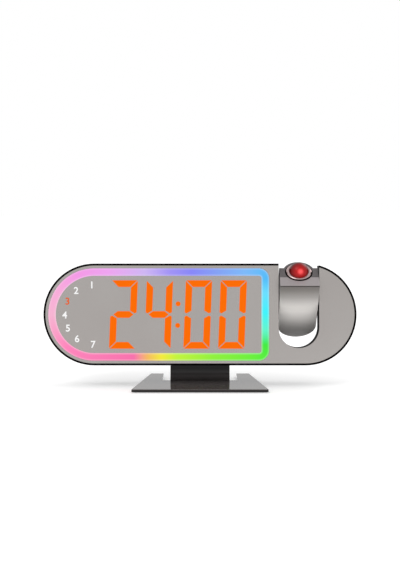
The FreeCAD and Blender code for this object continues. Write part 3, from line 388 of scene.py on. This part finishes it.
def soften(name, new_name, width, body):
    """A CAD piece with its sharp edges rounded, as a mould or a polishing wheel leaves them."""
    piece = copy_of(name, new_name)
    bevel = piece.modifiers.new("Bevel", "BEVEL")
    bevel.width = width * MM
    bevel.segments = 3
    bevel.limit_method = "ANGLE"
    bevel.angle_limit = SHARP_ANGLE
    bpy.ops.object.modifier_apply(modifier="Bevel")
    bpy.ops.object.shade_smooth()
    weighted = piece.modifiers.new("Weighted", "WEIGHTED_NORMAL")
    weighted.mode = "FACE_AREA"
    weighted.weight = 100
    bpy.ops.object.modifier_apply(modifier="Weighted")
    stand_in(piece, name, body)


def along_ring(x, z):
    """Millimetres along the ring's middle line, and how far out from it a face point lies."""
    if x < RING_END_X:
        turn = math.atan2(z, x - RING_END_X) % (2 * math.pi)
        out = math.hypot(x - RING_END_X, z) - RING_MIDDLE
        return (turn - math.pi) * RING_MIDDLE % RING_LENGTH, out
    if x < RING_CORNER_X and z < 0:
        return RING_QUARTER + x - RING_END_X, -z - RING_MIDDLE
    if x < RING_CORNER_X:
        return RING_LENGTH - RING_QUARTER - (x - RING_END_X), z - RING_MIDDLE
    side_start = RING_QUARTER + RING_RUN + RING_BEND
    if abs(z) < RING_CORNER_Z:
        return side_start + z + RING_CORNER_Z, x - RING_SIDE_X
    side = -1 if z < 0 else 1
    turn = math.atan2(z - side * RING_CORNER_Z, x - RING_CORNER_X)
    out = math.hypot(x - RING_CORNER_X, z - side * RING_CORNER_Z) - RING_CORNER
    start = side_start if z < 0 else side_start + 2 * RING_CORNER_Z
    return start + turn * RING_CORNER, out


def make_ring():
    """The light ring with a map that runs round and across it."""
    piece = copy_of("light_ring", "light_ring_diffuser", flatten=False)
    to_face = IN_BODY.inverted()
    uv = piece.data.uv_layers.new(name="around")
    points = [to_face @ vertex.co / MM for vertex in piece.data.vertices]
    for polygon in piece.data.polygons:
        places = []
        for loop in polygon.loop_indices:
            point = points[piece.data.loops[loop].vertex_index]
            place, out = along_ring(point.x, point.z)
            places.append((loop, place / RING_LENGTH, 0.5 + out / (2 * RING_HALF_WIDTH)))
        shares = [place for loop, place, out in places]
        wraps = max(shares) - min(shares) > 0.5
        for loop, place, out in places:
            uv.data[loop].uv = (place + 1 if wraps and place < 0.5 else place, out)
    stand_in(piece, "light_ring", "root")


def make_fascia():
    """The mirror panel: its film is on the front, and its cut edges show the dark backing."""
    piece = copy_of("fascia_panel", "mirror_fascia")
    piece.data.materials.append(gloss_black)
    front = IN_BODY.to_3x3() @ Vector((0, -1, 0))
    for polygon in piece.data.polygons:
        polygon.material_index = 0 if polygon.normal.dot(front) > FRONT_FACING else 1
    stand_in(piece, "fascia_panel", "root")


def make_numerals():
    """Plain numerals, printed just proud of the mirror."""
    upright = Matrix.Rotation(math.pi / 2, 4, "X")
    for number, (x, z) in enumerate(DAY_PLACES, start=1):
        deselect()
        bpy.ops.object.text_add()
        text = bpy.context.object
        text.data.body = str(number)
        text.data.size = NUMERAL_HEIGHT / FIGURE_SHARE * MM
        text.data.align_x = "CENTER"
        text.data.align_y = "CENTER"
        text.data.extrude = NUMERAL_THICKNESS * MM
        text.data.offset = NUMERAL_WEIGHT * MM
        bpy.ops.object.convert(target="MESH")
        numeral = bpy.context.object
        numeral.name = f"day_numeral_{number}"
        place = Matrix.Translation(Vector((x, -NUMERAL_STAND_OFF, z)) * MM)
        numeral.data.transform(IN_BODY @ place @ upright)
        numeral.matrix_world = Matrix.Identity(4)
        dress(numeral, amber_light if number == CHOSEN_DAY else white_light)
        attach(numeral, "root")


make_ring()
make_numerals()
make_fascia()
soften("projector_front_shell", "projector_front_cover", 0.25, "projector")
soften("projector_rear_shell", "projector_rear_cover", 0.25, "projector")
for key_name in ("mode_key", "set_key", "up_key", "down_key", "alarm_key"):
    soften(key_name, key_name + "_cap", 0.3, key_name + "_body")
soften("rear_cover", "grained_rear_cover", 0.3, "root")
soften("battery_cap", "coin_slot_cap", 0.2, "cap")
soften("snooze_bar", "rounded_snooze_bar", 0.3, "snooze")
soften("stand", "bent_stand", 0.25, "root")


# Stage: pale floor, soft light, camera square to the leaning face

def pale_floor():
    """Matt card that glows a little, so that it runs into the white background."""
    material = new_material("pale_floor")
    shader = add(material, "BsdfPrincipled", Base_Color=linear("#efefef"), Roughness=0.9,
                 Emission_Color=linear("#ffffff"), Emission_Strength=FLOOR_GLOW)
    return finish_material(material, shader)


def studio_world():
    """White where it is seen, mirrored or looked at through the lenses, and a softer light on everything."""
    world = bpy.data.worlds.new("studio")
    world.use_nodes = True
    world.node_tree.nodes.clear()
    path = add(world, "LightPath")
    seen = add(world, "Math", {0: path.outputs["Is Camera Ray"], 1: path.outputs["Is Transmission Ray"]},
               operation="MAXIMUM")
    white = add(world, "Math", {0: seen.outputs[0], 1: path.outputs["Is Glossy Ray"]}, operation="MAXIMUM")
    soft = add(world, "Background", Color=linear("#ffffff"), Strength=ROOM_LIGHT)
    bright = add(world, "Background", Color=linear("#ffffff"), Strength=1.0)
    mix = add(world, "MixShader", {0: white.outputs[0], 1: soft.outputs[0], 2: bright.outputs[0]})
    add(world, "OutputWorld", {"Surface": mix.outputs[0]})
    return world


def softbox(name, place, size, power):
    lamp = bpy.data.lights.new(name, "AREA")
    lamp.shape = "SQUARE"
    lamp.size = size
    lamp.energy = power
    box = bpy.data.objects.new(name, lamp)
    bpy.context.scene.collection.objects.link(box)
    box.location = place
    box.rotation_euler = (LIGHT_AIM - Vector(place)).to_track_quat("-Z", "Y").to_euler()


deselect()
bpy.ops.mesh.primitive_plane_add(size=FLOOR_SIZE)
floor = bpy.context.object
floor.name = "floor"
dress(floor, pale_floor())

bpy.context.scene.world = studio_world()
softbox("key_softbox", (-0.7, -0.9, 1.2), 0.9, 6.0)
softbox("rim_softbox", (0.8, 0.7, 0.9), 0.7, 3.0)

camera_data = bpy.data.cameras.new("camera")
camera = bpy.data.objects.new("camera", camera_data)
bpy.context.scene.collection.objects.link(camera)
camera.location = IN_BODY @ (Vector((0, -CAMERA_DISTANCE, CAMERA_RISE)) * MM)
camera.rotation_euler = (math.pi / 2 - LEAN, 0, 0)
camera_data.sensor_fit = "HORIZONTAL"
camera_data.sensor_width = SENSOR_WIDTH
camera_data.lens = CAMERA_DISTANCE / PIXEL_MM / IMAGE_WIDTH * SENSOR_WIDTH
camera_data.clip_end = 20
bpy.context.scene.camera = camera
bpy.context.scene.view_settings.view_transform = "Standard"
